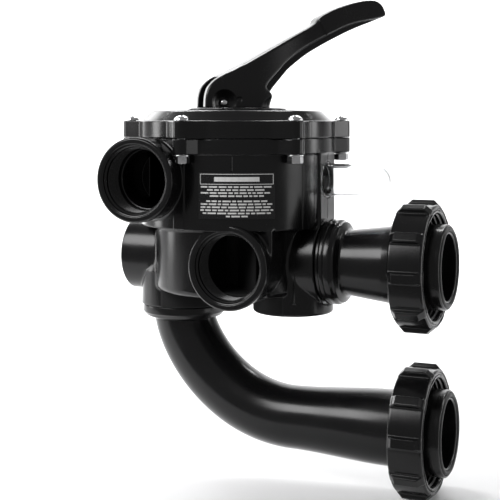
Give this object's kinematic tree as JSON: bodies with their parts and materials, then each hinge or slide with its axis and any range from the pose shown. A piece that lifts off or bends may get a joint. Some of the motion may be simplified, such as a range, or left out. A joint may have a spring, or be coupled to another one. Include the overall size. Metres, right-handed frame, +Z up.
{
  "type": "multiport valve",
  "caption": "Side-mount pool filter backwash valve: lever-operated rotor in a chamber with threaded ports, and two union pipes to the filter.",
  "frame": {"origin": "centre of the upper union's end face, where the valve meets the filter", "axes": "+X out of the two unions towards the filter, -Y out of the pump and return ports, +Z up along the rotor axis"},
  "size_m": [0.3263, 0.2318, 0.4706],
  "materials": {
    "black_plastic": "moulded ABS with a soft gloss",
    "handle_plastic": "moulded glass-filled nylon, satin gloss",
    "steel": "plain stainless",
    "spring_steel": "drawn stainless wire",
    "rubber": "smooth moulded rubber",
    "nylon": "plain nylon",
    "clear_plastic": "clear moulded polycarbonate",
    "label_film": "printed film"
  },
  "bodies": {
    "valve": {"valve_body": "black_plastic", "cover": "black_plastic", "cover_o_ring": "rubber", "cover_screw_1": "steel", "cover_screw_2": "steel", "cover_screw_3": "steel", "cover_screw_4": "steel", "cover_screw_5": "steel", "cover_screw_6": "steel", "cover_washer_1": "steel", "cover_washer_2": "steel", "cover_washer_3": "steel", "cover_washer_4": "steel", "cover_washer_5": "steel", "cover_washer_6": "steel", "cover_nut_1": "steel", "cover_nut_2": "steel", "cover_nut_3": "steel", "cover_nut_4": "steel", "cover_nut_5": "steel", "cover_nut_6": "steel", "index_plate": "black_plastic", "spider_gasket": "rubber", "sight_glass": "clear_plastic", "sight_glass_gasket": "rubber", "instruction_label": "label_film", "upper_union_pipe": "black_plastic", "upper_union_tail": "black_plastic", "upper_union_o_ring": "rubber", "lower_elbow_pipe": "black_plastic", "lower_union_tail": "black_plastic", "lower_union_o_ring": "rubber"},
    "turning_head": {"handle_thrust_washer": "steel", "spring_washer": "steel", "bearing_washer": "nylon", "return_spring": "spring_steel"},
    "rotor": {"rotor": "black_plastic", "stem_o_ring_lower": "rubber", "stem_o_ring_upper": "rubber", "handle_pin": "steel"},
    "handle": {"handle": "handle_plastic"},
    "upper_nut": {"upper_union_nut": "black_plastic"},
    "lower_nut": {"lower_union_nut": "black_plastic"}
  },
  "joints": [
    {"name": "rotor_turn", "type": "hinge", "parent": "valve", "child": "turning_head", "pos_m": [-0.213, 0, 0.148], "axis": [0, 0, 1], "continuous": true},
    {"name": "rotor_lift", "type": "slide", "parent": "turning_head", "child": "rotor", "axis": [0, 0, 1], "range_m": [0, 0.0051], "stiffness_N_per_m": 800, "springref_m": -0.004, "deforming": ["return_spring"]},
    {"name": "handle_press", "type": "hinge", "parent": "rotor", "child": "handle", "pos_m": [-0.22659, -0.01181, 0.1522], "axis": [-0.6561, 0.7547, 0], "range_deg": [0, 6]},
    {"name": "upper_nut_spin", "type": "hinge", "parent": "valve", "child": "upper_nut", "pos_m": [-0.027, 0, 0], "axis": [1, 0, 0], "continuous": true},
    {"name": "lower_nut_spin", "type": "hinge", "parent": "valve", "child": "lower_nut", "pos_m": [-0.027, 0, -0.1524], "axis": [1, 0, 0], "continuous": true}
  ],
  "couplings": [
    {"joint": "rotor_lift", "follows": "handle_press", "m_per_rad": 0.048}
  ]
}
